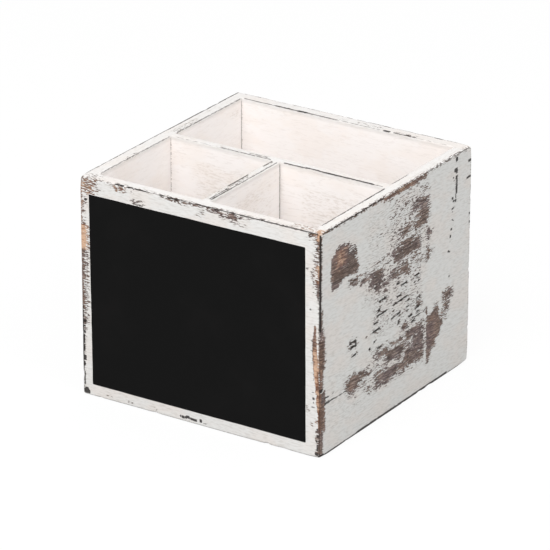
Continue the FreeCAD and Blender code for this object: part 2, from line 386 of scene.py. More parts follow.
RIGHT_STREAKS = [
    # Above the band
    (51, 52.5, 107, 108.2, 0.8), (57.5, 60, 106.4, 107.4, 0.8), (62, 66, 105.2, 106.4, 0.75),
    (55, 70, 105.5, 108, 0.36), (72, 74, 111.8, 113.4, 0.85), (70, 80, 115, 115.8, 0.5),
    (71.5, 75, 102.5, 106.5, 0.55), (71.5, 73.5, 101, 102, 0.8), (67.5, 70, 99, 100, 0.75),
    # Below the middle
    (75, 79, 72, 73.4, 1.2), (74.5, 77.5, 69.2, 70.6, 0.6), (80, 87, 69.6, 70.6, 0.95),
    (94, 100, 70.4, 71.4, 1.2), (94.5, 99, 68.5, 70, 0.7), (93.5, 95.5, 66.5, 67.8, 1.1),
    (97.5, 100, 66, 68.5, 0.7), (76, 81, 64.3, 65.8, 1), (69, 72.5, 65, 66, 0.85),
    (57, 66, 68.2, 69.6, 1.05), (56.5, 60, 62.8, 65), (53, 56, 64, 65, 0.5), (63, 66.5, 66, 67.4, 0.7),
    (56, 66, 60.4, 61.8), (52.5, 57, 56.6, 58.6, 0.9), (53, 55, 59, 60.5, 0.8),
    (61.5, 64, 57.2, 58.4, 0.6), (51.5, 60, 52.4, 54, 1.05), (61.5, 64, 53, 54.6, 0.35),
    (72, 87, 61.2, 62.6), (72, 74, 57.8, 59, 0.85), (76, 78, 57.6, 58.6, 0.55), (85, 90, 58.6, 60, 0.85),
    (70.5, 75, 53.8, 55, 1.05), (76, 80, 54, 55.8, 1.05), (77.5, 80, 52.6, 54, 0.7),
    (77, 79.5, 48.4, 51, 1), (85.5, 89, 55, 56.4, 0.85), (89, 95, 55, 56.2, 0.75), (86, 89, 52.8, 54, 1),
    (88, 93, 48.2, 50, 0.95), (95.5, 102, 55.8, 58.4, 0.66), (96.5, 99, 59.5, 61.5, 0.65),
    (95, 101, 50.8, 52.6, 0.9), (96, 100, 48, 50, 0.8),
    # Small marks
    (28, 35, 54.4, 55.8, 1.05), (29, 36, 51.4, 53, 1.2), (29, 31, 53, 55, 0.75),
    (33.5, 36, 53, 55.5, 0.95), (28.5, 31.5, 55.8, 56.8, 0.7), (30.5, 32.5, 57.5, 59, 0.4),
    (35, 36.5, 56.2, 57.2, 0.6), (33.5, 36, 49.6, 50.6, 0.4), (31.5, 36, 46.2, 47.8, 1.15),
    (39.5, 40.5, 51.8, 52.8, 0.5), (45, 46.5, 52.4, 53.2, 0.8), (48, 50, 43.6, 45.6, 1.1),
    (53, 55, 46.8, 47.8, 1.4), (62, 65, 47, 48.4, 0.6), (56.5, 61, 41.6, 42.8, 1.4),
    (66.5, 68.5, 42.6, 43.4, 0.4), (84.5, 86, 47, 49, 0.9), (85.5, 90, 42.8, 44, 1),
    (91, 96, 44, 46, 0.85), (91, 101, 46, 47.4, 0.85), (103, 107, 46.4, 47.6, 0.9),
]
UPRIGHT_PATCH = [
    (107.6, 119.6, 36, 42.4, 1.3), (107.4, 122, 29, 37, 1.4), (119, 124.2, 31, 35.5, 1.1),
    (107.8, 121, 26.5, 30, 1.3), (107.8, 117, 22.5, 27, 1.3), (107.8, 112.5, 18, 23, 1.2),
    (108, 111, 14, 19, 1.1), (113, 117.5, 21.5, 24, 0.9), (120, 124, 35.5, 38.5, 0.7),
    (114.5, 119.5, 41, 45, 1.1), (116, 119, 45, 47.5, 0.8), (106.2, 108, 43, 48, 1),
    (107, 109, 46.5, 48, 0.95),
]
RIGHT_ARRISES = [
    (-1, 4.4, 50, 68, 1.3), (-1, 3, 38, 51, 1.1), (-1, 4.8, 14, 37, 1.3), (-1, 3, -1, 14, 1.1),
    (-1, 3.2, 66, 74, 1), (-1, 2.2, 72, 84, 0.95), (-1, 1.2, 84, 128, 0.8), (4, 6, 52.8, 54.2, 0.8),
    (4, 6, 57.4, 58.6, 0.7), (62, 105, 124.6, 126.8, 1.4), (66, 70.5, 122.4, 124.6, 0.7),
    (86, 98, 123.4, 125, 0.8), (2, 62, 126, 128, 0.8), (104, 150, 126.4, 128, 0.6),
]
RIGHT_FRESH = [
    (13, 26, 102, 113, 0.54), (16, 22.5, 104.5, 112, 0.68), (11, 24, 97, 103, 0.3),
    (46, 92, 124.4, 128, 0.5), (108, 121, 24, 41, 0.24), (28, 34, 27, 33, 0.3), (-1, 4.4, 46, 70, 0.46),
    (-1, 4.6, 14, 31, 0.42), (-1, 3, 125, 128, 0.9),
]
RIGHT_SPLIT = [
    (136, 137.6, 123.5, 125.2, 1.8), (134.8, 137.4, 117.5, 119, 1.8), (136, 138, 116.2, 117.6, 1),
    (136, 137.7, 112.6, 114.8, 1.3), (136.6, 137.8, 108.6, 113, 1.2), (136.4, 137.6, 105.2, 109, 1.8),
    (135, 136.6, 106, 115, 0.55), (135.6, 136.9, 101.4, 105, 0.85), (135.2, 137, 99.9, 101.2, 1.2),
    (136, 137.6, 92.8, 97, 0.42),
]
RIGHT_DARK = [
    # Dirt in the bare wood
    (51, 61, 77, 87, 0.44), (74, 98, 86.5, 92.5, 0.44), (12, 33, 94, 102, 0.46), (25, 35, 98, 111, 0.44),
    (0, 4, 50, 67, 0.5), (0, 4.2, 15, 36, 0.44), (66, 88, 124.9, 126.6, 0.46), (28, 46, 28, 34, 0.36),
    (66, 84, 30, 36, 0.4),
    # Dotted line beside the split
    (132.6, 134.2, 114, 115, 1), (133.5, 134.9, 112.2, 113.1, 0.8), (132.8, 134, 107.4, 108.4, 0.7),
    (132, 133.8, 102.2, 103.5, 1.2), (133.2, 134.8, 100.3, 101.4, 1.2), (131.9, 133.5, 96.3, 97.3, 1.1),
    (133.6, 135, 96.5, 97.4, 1), (132.4, 133.6, 94.4, 95.4, 0.8), (131.6, 132.8, 91.4, 92.4, 0.65),
    (132.4, 133.6, 89.7, 90.7, 0.9), (133.6, 135, 89.2, 90.2, 0.9), (131.4, 133, 84.6, 85.6, 1.5),
    (130.6, 132, 80.4, 81.8, 1.4), (130.4, 131.4, 77.4, 78.4, 0.6), (128.8, 130.2, 72.4, 73.4, 1.4),
    (130.2, 131.4, 71.8, 72.8, 1.1), (129.8, 131.4, 57, 58.6, 0.8),
    # Dashes below the middle
    (57.5, 66, 68.5, 69.5, 0.75), (80.6, 87.1, 70, 70.8, 1.3), (54.5, 66.4, 60.5, 61.5, 0.65),
    (73, 87, 61.4, 62.2, 0.7), (51.9, 60, 53.1, 54.1, 0.85), (71, 75.5, 54, 54.9, 0.85),
    (95.6, 101.1, 51.1, 52.1, 0.7), (47.7, 49.4, 43.9, 45.7, 0.8), (53.2, 54.6, 47, 47.7, 0.8),
    (29, 35.5, 51.7, 52.7, 0.8), (28.5, 34.5, 54.7, 55.5, 0.7), (32, 35.6, 46.6, 47.5, 0.8),
    # Dashes round the upper cloud
    (81, 85, 115.2, 116, 0.55), (85, 89.3, 115.9, 116.8, 0.6), (84.8, 88.6, 119.6, 120.2, 0.45),
    (86.2, 88.6, 121, 123.2, 0.35), (72.6, 74, 111.4, 113, 0.6), (83, 84.8, 109.4, 110, 0.6),
    (87.8, 97.4, 105.5, 106.1, 0.55), (74.6, 75.6, 105.5, 106.4, 0.6), (71.6, 73.6, 103.4, 106, 0.4),
    (103.7, 106.6, 118, 119.8, 0.4), (90.2, 92, 111.4, 112.4, 0.6), (91.2, 93, 113.6, 114.6, 0.6),
    (92.4, 95.6, 107.6, 108.6, 0.5), (75, 77.4, 101.8, 103, 0.6), (73.6, 75.6, 94.2, 96.2, 0.45),
    (95.6, 99.6, 94.8, 95.8, 0.5),
    # Cracks that run back from the front arris
    (4, 10, 28.6, 30.6, 0.7), (10, 14, 28.9, 30.1, 0.9), (14, 26, 28.8, 29.8, 0.74),
    (4.5, 9, 32.2, 33.4, 0.84), (11, 14, 32.4, 33.3, 0.74), (18.5, 20, 32.4, 33.2, 0.5),
    # Arrises; the lines along the bottom edge are partly painted shade under its rounding, where it meets
    # the floor
    (-0.8, 0.9, 72, 127, 1), (-0.5, 0.6, 0, 72, 0.6), (2, 62, 126.3, 127.3, 0.8),
    (62, 151, 126.4, 127.2, 0.7), (-1, 3, 36.8, 39.6, 0.7), (0, 37, -1.5, 0.8, 1.1),
    (37, 130, -1.5, 1.3, 1.2), (128, 151, -1.5, 0.6, 0.7), (0, 4, -1, 1.5, 0.9),
    (149, 153.5, 118.6, 120, 1.1), (147.6, 153.5, 109.5, 110.3, 1.5), (150.6, 153.5, 87.2, 88.8, 0.9),
    (150.6, 153.5, 82.4, 83.8, 0.9),
]

FRONT_RUBS = [
    # Upper left corner
    (-2.5, 2.2, 114, 127.5, 0.85), (1, 11, 117.2, 126.8, 0.64), (2, 8.5, 117.5, 121, 0.66),
    (6, 12.5, 120.4, 121.6, 0.75), (12, 14.3, 121.2, 121.9, 0.6), (2, 12, 125, 127.5, 0.6),
    (10, 20, 125.6, 127.2, 0.42), (5, 11, 122.4, 124, 0.55),
    # Left edge
    (-2.5, 2.4, 100, 114, 0.8), (2, 4.6, 111, 117, 0.5), (-2.5, 3.6, 85, 100, 1.3),
    (3, 6.2, 84, 100, 0.58), (-2.5, 3.4, 79, 86, 1), (3, 5.5, 78, 86, 0.54), (-2.5, 3.3, 64, 80, 1),
    (3, 5.2, 64, 80, 0.56), (-2.5, 3.2, 50, 65, 1), (2.6, 5.4, 53, 57, 0.7), (3, 5, 57, 63, 0.54),
    (2, 4.8, 42, 52, 0.5), (-2.5, 2.4, 38, 50, 0.9), (0.6, 3, 40.5, 45, 0.85), (-2.5, 1.4, 16, 39, 0.7),
    (-2.5, 1.2, 0, 16, 0.5),
    # Top edge
    (21, 30, 123.2, 126.6, 0.7), (33.2, 34.9, 123.9, 124.9, 0.55), (33.6, 41.2, 117.6, 121, 0.56),
    (34.4, 37.6, 119.8, 120.9, 0.5), (31, 32.8, 119.3, 120, 0.5), (39.6, 41, 117.6, 118.7, 0.7),
    (30, 43, 126.6, 127.8, 0.75), (51, 56, 125.8, 127.6, 0.55), (56, 63.5, 125.6, 127.6, 1.2),
    (64.6, 69.6, 124.8, 127.7, 0.84), (69, 76, 125.8, 127.6, 0.78), (70, 75, 124.8, 126, 0.4),
    (75, 80, 125.6, 127.6, 0.95), (76, 78.6, 122.3, 123.6, 0.72), (74.6, 78, 120.1, 121.1, 0.45),
    (75.5, 80, 122, 124.5, 0.35), (80, 85, 124.8, 127.4, 0.76), (84.6, 89.6, 124.9, 127.8, 1.05),
    (89.6, 95, 122.3, 126.4, 0.7), (94.4, 100, 123, 127.6, 0.95), (99, 103.8, 124.3, 126.2, 0.72),
    (100, 104, 126, 127.6, 0.5), (95.3, 97.4, 121.2, 122, 0.65), (97.8, 104.7, 120.9, 122.3, 0.62),
    (90, 94, 122.2, 123.8, 0.5), (106.3, 109.2, 125.4, 126.4, 0.55), (108, 150, 126.8, 127.8, 0.5),
    (11, 152, 126.9, 128, 0.4),
    # Right edge, upper part
    (143.8, 148.6, 124.2, 126.9, 0.7), (145.4, 150, 122.3, 124.2, 0.6), (148.4, 153, 123.2, 128, 1.1),
    (148.9, 153, 116.5, 124, 0.85), (147.9, 153, 109.8, 117, 0.7), (148.9, 153, 99, 110, 1),
    (146, 148.4, 99, 107.8, 0.5), (142.8, 145.4, 106, 107.1, 0.65), (146.8, 148, 92, 99, 0.35),
    (149, 151.4, 95.6, 101, 1.2), (149.6, 151.3, 92, 97, 1.2), (150, 151, 89.6, 93, 1.1),
    (150.9, 153, 76, 91, 0.55),
    # Right edge, lower part
    (149.9, 153, 0, 16, 0.85), (143.4, 145.8, 25.4, 29.6, 0.38), (146.2, 147.8, 17.6, 20.2, 0.4),
    (149, 150.4, 19, 26, 0.4),
    # Bottom edge
    (16, 17.1, 1.9, 2.8, 0.6), (18.5, 19.5, 1.9, 2.8, 0.5), (28.8, 30, 2.1, 3.1, 0.6),
    (31.8, 33, 1.5, 2.5, 0.6), (47.6, 48.7, 1.6, 3.1, 0.7),
]
FRONT_STRIP = [
    (148.3, 149, 68, 75, 2), (147.8, 149, 64, 71, 2), (147.4, 149.3, 60, 67, 2),
    (147.4, 149.7, 55, 62, 2), (147.9, 150.2, 50, 57, 2), (148.3, 150.6, 46, 52, 2),
    (148.9, 150.9, 42, 48, 2), (149.2, 151.1, 38, 44, 2), (149.9, 151.4, 32, 40, 2),
    (150.5, 151.8, 26, 33, 2), (150.9, 152, 16, 27, 1.8),
]
FRONT_FRESH = [
    (-2.5, 5, 85, 99.5, 1.1), (-2.5, 12, 115, 127.5, 0.55), (-2.5, 2.6, 100, 116, 0.6),
    (1, 5, 122, 126.5, 0.5), (-2.5, 3, 50, 85, 0.2), (20, 31, 122, 127, 0.5), (75, 100, 123, 128, 0.15),
    (148.2, 153, 123, 128, 0.95), (148, 153, 99, 110, 0.7), (148.8, 153, 110, 123, 0.3),
    (149, 151.4, 90, 99, 0.12), (146, 151, 62, 76, 0.5), (146, 151.5, 52, 63, 0.8),
    (146, 151.5, 40, 53, 0.95), (147, 153, 16, 41, 0.74),
]
FRONT_DARK = [
    # Top edge
    (23.4, 28.4, 126.7, 127.5, 1.3), (30.5, 34.8, 126.5, 127.4, 0.85), (35.6, 42.4, 126.5, 127.5, 0.8),
    (42, 51, 126.7, 127.5, 0.66), (51, 55, 126.5, 127.4, 0.75), (56, 63, 126, 127.3, 0.9),
    (64, 75, 126.4, 127.3, 0.66), (75, 104, 126.5, 127.4, 0.74), (104, 150, 126.5, 127.3, 0.84),
    # Scratches below it
    (2.5, 6.5, 125.9, 126.9, 0.6), (8, 10.4, 125.6, 126.4, 0.5), (3, 12, 120.6, 121.4, 0.6),
    (10, 14, 121.2, 121.8, 0.7), (1, 6, 123.4, 124, 0.5), (4, 10, 118.4, 119, 0.55),
    (8, 9.5, 123.5, 124.2, 0.5), (33.6, 34.8, 124, 125, 0.7), (33.6, 36.6, 120.2, 121, 0.6),
    (35.4, 39, 118.6, 119.4, 0.6), (36, 41, 117.6, 118.4, 0.8), (34, 36, 117.8, 118.4, 0.6),
    (31.2, 32.6, 119.3, 120, 0.6), (39.8, 41, 117.7, 118.6, 0.9), (90.3, 93.6, 123.2, 123.8, 0.6),
    (90.4, 94, 124.6, 125.3, 0.6), (101, 103.8, 124.4, 125.1, 0.8), (99.6, 102, 125.6, 126.1, 0.7),
    (76.3, 78.4, 122.5, 123.3, 0.7), (95.5, 97.2, 121.3, 121.9, 0.7), (101, 104.6, 121, 121.8, 0.5),
    (85.6, 88.6, 125.2, 127.2, 0.5), (94.6, 95.6, 123, 125.4, 0.5),
    # Left edge
    (2.7, 4.6, 113.3, 114.6, 1), (-1.6, 1.2, 14, 52, 0.9), (0.2, 2.4, 20.2, 23.2, 1.6),
    (0.2, 1.8, 25.6, 29.2, 1.35), (0.2, 1.8, 30, 35.4, 1.3), (0.4, 2.6, 36, 37.8, 0.85),
    (0.4, 2.6, 39.6, 41, 0.85), (0.8, 3, 42.4, 44, 0.95), (0.6, 2.6, 45.6, 46.8, 0.6),
    (1, 3.4, 49.4, 50.6, 0.5), (0.2, 2, 16.6, 19.4, 1.05), (2.2, 3.4, 33.6, 34.6, 0.7),
    (-1.6, 0.7, 2, 14, 0.95), (-1.6, 0.4, 52, 85, 0.72), (1, 1.9, 5.5, 13.5, 0.95),
    (0.8, 4.4, 1.1, 2.9, 1.9), (1.6, 3.4, 2.6, 4.1, 1.9),
    # Right edge
    (146.9, 147.5, 54, 66, 0.72), (147.5, 148, 66, 74, 0.6), (147.6, 148.2, 44, 53, 0.7),
    (145.6, 146.8, 72, 73.6, 0.45), (146, 147.2, 65.6, 67.4, 0.62), (145.4, 147.4, 60.4, 61.6, 0.62),
    (146.2, 147.5, 53.4, 54.6, 0.6), (145, 146.2, 48.4, 49.4, 0.5), (146.2, 147.8, 47.6, 50, 0.4),
    (151, 152, 100, 124, 0.8), (151.3, 152, 40, 100, 0.5), (151.2, 152, 0, 40, 0.6),
    (144.2, 146.8, 124.4, 125.2, 0.7), (145, 147.6, 125.8, 126.6, 0.7), (148.8, 149.8, 117.8, 119.4, 0.8),
    (147.6, 149, 115, 116, 0.6), (147.4, 148.8, 112, 113.2, 0.6), (142.9, 145.2, 106.2, 107, 0.75),
    (147.1, 147.9, 98, 100, 0.85), (147.1, 147.8, 92, 98, 0.45), (146.4, 147.6, 103.6, 105, 0.55),
    (146.6, 147.6, 106.4, 107.4, 0.7), (145.1, 146.3, 83.6, 84.7, 0.95), (146.6, 148.3, 37, 37.9, 0.8),
    (147.1, 148.7, 33, 34.6, 0.85), (147.3, 148.3, 30.9, 32.1, 0.8), (146.2, 149.2, 28.5, 29.3, 0.75),
    (149.7, 150.9, 15.9, 17.3, 0.95), (149.9, 151.2, 11.9, 13.1, 0.9), (149.4, 150.7, 8.9, 10.1, 0.95),
    (149.7, 151, 3.8, 8, 0.75), (148.9, 150.9, 1.4, 2.9, 1),
    # Bottom edge; the line along all of it is partly painted shade where it meets the floor
    (63.4, 64.3, 1.9, 3.2, 1.1), (64.6, 66.2, 1.7, 3, 1.4), (66.6, 68, 2, 3.1, 1.3),
    (67.6, 69.4, 2.4, 3.6, 1.6), (70, 72.4, 1.9, 3.1, 1.25), (72.2, 74.3, 1.8, 2.8, 1.5),
    (76.2, 77.5, 2, 3.6, 1.5), (78, 81.5, 1.5, 2.4, 0.7), (69, 69.8, 0.7, 2, 0.6), (0, 152, -1.5, 0.4, 1),
]

RIM_RUBS = [
    # Left
    (4, 8, 80, 105, 0.26), (5.6, 8, 30, 44, 0.28), (3, 4.2, 78, 124, 0.2), (0.2, 1, 30, 60, 0.25),
    (2, 12, 1, 6, 0.3),
    # Back
    (81, 100, 146, 149, 0.26), (107, 121, 145, 148, 0.34), (30, 52, 145, 146, 0.26),
    (52, 66, 145.6, 147, 0.2), (70, 76, 145.5, 148.5, 0.24), (82, 134, 151, 151.8, 0.3),
    # Cross divider
    (36, 70, 75.2, 77, 0.24), (58, 71, 75.6, 77.6, 0.3), (90, 140, 75, 76, 0.22),
    # Centre divider
    (74.6, 78, 10, 29, 0.36), (74.6, 78, 30, 50, 0.34), (73.8, 75.4, 64, 73, 0.46),
    (76.8, 78, 9, 73, 0.3), (73.8, 75, 30, 50, 0.36),
    # Right
    (144.7, 146, 11, 73, 0.3), (149, 150, 88, 150, 0.22), (150.5, 153, 4, 150, 0.52),
    (150.2, 153, 50, 107, 0.58),
    # Front
    (22, 70, 0.6, 2.6, 0.32), (70, 134, 0.6, 2.4, 0.34), (132, 147, 1.5, 7, 0.4),
    (146.5, 153, -1.5, 6, 0.7),
]
RIM_FRESH = [
    (132, 147, -1, 8, 0.6), (146, 153, -1, 8, 1), (150, 153, 8, 60, 0.3), (150, 153, 60, 106, 0.5),
]
RIM_DARK = [
    # Back mouth
    (9, 30, 144.4, 145.3, 0.8), (30, 40, 144.4, 145.4, 0.95), (40, 45, 144.4, 145.3, 0.9),
    (45, 50.5, 144.4, 145.8, 1.2), (50, 70, 144.4, 145.3, 0.85), (70, 99, 144.5, 145.3, 0.7),
    (100, 104.5, 144.5, 145.9, 1.2), (106, 121, 144.6, 145.7, 0.85), (120, 140, 144.6, 145.4, 0.62),
    # Back outer edge
    (80, 129, 150.9, 151.8, 0.95), (129, 134, 150.4, 151.8, 1), (6, 80, 151, 151.8, 0.8),
    (135, 149, 151, 151.8, 0.75),
    # Left outer edge
    (0.1, 1.3, 80, 151, 1.2), (0.1, 1.1, 4, 80, 1),
    # Cross divider
    (9, 40, 74.4, 75.3, 0.6), (40, 73, 74.4, 75.5, 0.75), (60, 70, 76.2, 77, 0.8),
    (80, 95, 74.3, 75.3, 0.95), (94.5, 103, 74.7, 75.9, 1.1), (103, 108, 74.4, 75.5, 0.95),
    (108, 113, 74.2, 75.6, 1.2), (112.5, 123, 74.2, 75.4, 1.1), (122, 134, 74.2, 75.3, 1.05),
    (133, 137.5, 74.1, 75.3, 1.2), (137, 143, 74.2, 75, 0.8),
    # Centre divider
    (77.3, 78.1, 9, 30, 1), (77.4, 78.1, 30, 62, 0.9), (77.2, 78, 62, 73, 0.85),
    (73.9, 74.9, 30, 50, 1.05), (75.3, 75.9, 31, 48, 0.75), (75.9, 76.7, 10, 27, 0.9),
    (73.9, 74.8, 64, 73, 1.05),
    # Right mouth and outer edge; the outer line is partly dirt, partly painted shade on the rounded edge
    (144.7, 145.9, 52, 73, 0.95), (144.7, 145.8, 11, 52, 0.82), (144.7, 145.6, 80, 97, 0.85),
    (146.9, 147.5, 14, 68, 0.46), (151.1, 152.4, 6, 150, 0.62),
    # Front
    (90, 134, 3.5, 4.1, 0.5), (96, 134, 5, 5.6, 0.5), (22.5, 27.5, -0.6, 0.8, 1),
    (30, 42, -0.3, 0.8, 0.75), (42, 57, -0.4, 0.5, 0.6), (57, 63, -0.6, 0.6, 1),
    (63, 102, -0.4, 0.8, 0.75), (100, 150, -0.4, 0.8, 0.72), (4, 22, -0.4, 0.5, 0.5),
]

# Strokes within the box, as spans from the left, from the front and up
INNER_DARK = [
    # Corners of the compartments: joint lines, partly painted shade where the boards meet
    (7, 8, 143.9, 145, 60, 126, 0.64), (7, 8.4, 74, 75, 60, 126, 0.5), (78, 79.2, 73.8, 75, 60, 126, 0.7),
    (78, 79, 7, 8, 60, 120, 0.4), (144, 145, 143.9, 145, 60, 126, 0.4),
    # Upper edge of the left wall
    (7, 8, 9, 74, 126.4, 127.2, 0.74), (7, 8, 80, 144, 126.4, 127.2, 0.76),
]
INNER_RUBS = [
    (7, 8, 133, 142, 117.5, 121.5, 0.18),
    # Thin paint on the dividers
    (24, 66, 74, 75, 84, 116, 0.155), (92, 140, 74, 75, 80, 116, 0.16), (78, 79, 14, 66, 84, 118, 0.14),
]


def full_rows(rows):
    """Rows as an array, with a strength of 1 where none is given."""
    return np.array([row if len(row) == 5 else row + (1,) for row in rows], float)


def fading(half, softness):
    """Softness of strokes, at most a share of their half size and a little more."""
    return np.minimum(softness, half * SOFT_SHARE + SOFT_LEAST)


def face_strokes(rows, corner, along, across, softness, reach=FACE_REACH, middle=None):
    """Boxes on a face, as centres, half sizes, strengths and softness, from rows measured from its corner.

    Rows that were read from a slightly larger view are drawn in towards the middle of that view.
    """
    table = full_rows(rows)
    centre = np.tile(corner.astype(float), (len(table), 1))
    half = np.full_like(centre, reach)
    if middle:
        places = np.repeat(middle, 2)
        table[:, :4] = places + (table[:, :4] - places) * SURVEY_SHRINK
    for axis, column in ((along, 0), (across, 2)):
        span = table[:, column:column + 2]
        centre[:, axis] += span.mean(axis=1)
        half[:, axis] = np.ptp(span, axis=1) / 2
    return centre, half, table[:, 4], fading(half, softness)


def space_strokes(rows, softness):
    """Boxes within the caddy from rows of three spans and a strength."""
    table = np.array(rows, float)
    spans = table[:, :6].reshape(-1, 3, 2)
    half = np.ptp(spans, axis=2) / 2
    return FRONT_LEFT_FOOT + spans.mean(axis=2), half, table[:, 6], fading(half, softness)


def weaker(rows, share):
    """The same rows at a share of their strength."""
    table = full_rows(rows)
    table[:, 4] *= share
    return [tuple(row) for row in table]


def turned_about(rows, seed, along, up):
    """Rows of the right side for a side that doesn't show.

    They are turned end for end or upside down, thinned by a draw for each row, and shifted by another.
    """
    rng = np.random.default_rng(seed)
    table = full_rows(rows)
    table = table[rng.random(len(table)) < KEPT_SHARE]
    if along:
        table[:, [0, 1]] = DEPTH - table[:, [1, 0]]
    if up:
        table[:, [2, 3]] = HEIGHT - table[:, [3, 2]]
    shift = rng.uniform(-SHIFT_MOST, SHIFT_MOST, (len(table), 2))
    table[:, :4] += np.repeat(shift, 2, axis=1)
    return [tuple(row) for row in table]


def stations(length, first, room, pitch):
    """Places one pitch apart that leave some room at the end of a length."""
    return np.arange(first, length - room, pitch)


def edge_rubs(seed, length):
    """Rows of invented rubs along the four edges of a side that doesn't show."""
    rng = np.random.default_rng(seed)
    rows = []
    for edge in (-EDGE_OUT, length):
        for low in stations(HEIGHT, *UPRIGHT_PLACES):
            reach = rng.uniform(*UPRIGHT_REACH)
            high = low + rng.uniform(*UPRIGHT_LENGTH)
            rows.append((edge - reach, edge + EDGE_OUT + reach, low, high, rng.uniform(*EDGE_STRENGTH)))
    for begin in stations(length, *LEVEL_PLACES):
        end = begin + rng.uniform(*LEVEL_LENGTH)
        low = HEIGHT - rng.uniform(*LEVEL_REACH)
        rows.append((begin, end, low, HEIGHT + EDGE_OUT, rng.uniform(*RIM_STRENGTH)))
        end = begin + rng.uniform(*LEVEL_LENGTH)
        high = rng.uniform(*LEVEL_REACH)
        rows.append((begin, end, -EDGE_OUT, high, rng.uniform(*EDGE_STRENGTH)))
    return rows


def merged(*groups):
    """Several groups of strokes as one."""
    return [np.concatenate(columns) for columns in zip(*groups)]


def on_right(rows, softness):
    """Strokes on the right side."""
    return face_strokes(rows, FRONT_RIGHT_FOOT, BACKWARD, UPWARD, softness, middle=RIGHT_MIDDLE)


def on_front(rows, softness):
    """Strokes on the front."""
    return face_strokes(rows, FRONT_LEFT_FOOT, ACROSS, UPWARD, softness)


def on_rim(rows, softness, reach=FACE_REACH):
    """Strokes on the rim."""
    return face_strokes(rows, FRONT_LEFT_RIM, ACROSS, BACKWARD, softness, reach)


SIDE_ROWS = RIGHT_RUBS + RIGHT_STREAKS
LEFT_ROWS = turned_about(SIDE_ROWS, LEFT_SEED, True, False) + edge_rubs(LEFT_EDGE_SEED, DEPTH)
BACK_ROWS = turned_about(SIDE_ROWS, BACK_SEED, False, True) + edge_rubs(BACK_EDGE_SEED, WIDTH)
RUBS = merged(
    on_right(RIGHT_RUBS + weaker(RIGHT_STREAKS, STREAK_RUB), SOFT_SIDE),
    on_right(ROUND_PATCH + UPRIGHT_PATCH, SOFT_PATCH),
    on_right(RIGHT_ARRISES, SOFT_ARRIS),
    on_front(FRONT_RUBS, SOFT_FRONT),
    on_front(FRONT_STRIP, SOFT_STRIP),
    on_rim(RIM_RUBS, SOFT_RIM),
    face_strokes(LEFT_ROWS, FRONT_LEFT_FOOT, BACKWARD, UPWARD, SOFT_SIDE),
    face_strokes(BACK_ROWS, BACK_LEFT_FOOT, ACROSS, UPWARD, SOFT_BACK),
    space_strokes(INNER_RUBS, SOFT_RIM),
)
FRESH = merged(
    on_right(RIGHT_FRESH, SOFT_SIDE),
    on_front(FRONT_FRESH, SOFT_FRONT),
    on_rim(RIM_FRESH, SOFT_RIM),
)
DARK = merged(
    on_right(RIGHT_DARK + weaker(RIGHT_STREAKS, STREAK_DIRT), SOFT_LINE),
    on_right(RIGHT_SPLIT, SOFT_SPLIT),
    on_front(FRONT_DARK, SOFT_LINE),
    on_rim(RIM_DARK, SOFT_LINE, LINE_REACH),
    space_strokes(INNER_DARK, SOFT_LINE),
)


def cover(points, strokes):
    """How much the strokes cover each point, where they overlap the most of them.

    A stroke gives half its strength at its border, all of it one softness further in, and none one softness
    out.
    """
    most = np.zeros(len(points))
    low, high = points.min(axis=0), points.max(axis=0)
    for centre, half, strength, softness in zip(*strokes):
        room = half + softness
        if (centre + room < low).any() or (centre - room > high).any():
            continue
        out = (np.abs(points - centre) - half) / softness
        beyond = np.linalg.norm(np.maximum(out, 0), axis=1)
        within = np.minimum(out.max(axis=1), 0)
        most = np.maximum(most, strength * np.clip((1 - beyond - within) / 2, 0, 1))
    return most


# Shader trees

class Wire:
    """An output of a shader node. Operators on it add Math nodes, and node() adds any other kind."""

    def __init__(self, tree, socket=None):
        self.tree = tree
        self.socket = socket

    def node(self, kind, settings, inputs, output=0):
        """Add a node, with its settings first and then the value or link of each input."""
        made = self.tree.nodes.new("ShaderNode" + kind)
        for name, value in settings.items():
            setattr(made, name, value)
        for name, value in inputs.items():
            target = chosen(made.inputs, name)
            if isinstance(value, Wire):
                self.tree.links.new(value.socket, target)
            else:
                target.default_value = value
        return Wire(self.tree, chosen(made.outputs, output))

    def math(self, operation, first, second):
        """Math node on two values or wires."""
        return self.node("Math", {"operation": operation}, {0: first, 1: second})

    def __add__(self, other):
        return self.math("ADD", self, other)

    def __radd__(self, other):
        return self.math("ADD", other, self)

    def __sub__(self, other):
        return self.math("SUBTRACT", self, other)

    def __rsub__(self, other):
        return self.math("SUBTRACT", other, self)

    def __mul__(self, other):
        return self.math("MULTIPLY", self, other)

    def __rmul__(self, other):
        return self.math("MULTIPLY", other, self)


def chosen(sockets, key):
    """The socket with that number, or the one with that name that is in use."""
    if isinstance(key, int):
        return sockets[key]
    return next((socket for socket in sockets if socket.name == key and socket.enabled), None)


def tone(red, green, blue):
    """Colour as the screen shows it, 0 to 255, in linear light by the standard screen curve."""
    share = np.array([red, green, blue]) / 255
    linear = np.where(share > 0.04045, ((share + 0.055) / 1.055) ** 2.4, share / 12.92)
    return (*linear.tolist(), 1)


def new_material(name):
    """An empty material and a wire to start its tree from."""
    material = bpy.data.materials.new(name)
    material.use_nodes = True
    material.node_tree.nodes.clear()
    return material, Wire(material.node_tree)


def ramp(value, low, high):
    """Smooth step from 0 at low to 1 at high."""
    limits = {"Value": value, "From Min": low, "From Max": high}
    return value.node("MapRange", {"interpolation_type": "SMOOTHSTEP"}, limits)


def blend(factor, first, second):
    """Mix of two colours."""
    inputs = {"Factor": factor, "A": first, "B": second}
    return factor.node("Mix", {"data_type": "RGBA"}, inputs, "Result")


def swing(noise, amount):
    """Noise moved to lie about zero, times an amount."""
    return (noise - NOISE_MIDDLE) * amount


def lessened(value, most, loss):
    """An amount that goes down by its loss as the value goes from 0 to 1."""
    return most - value * loss


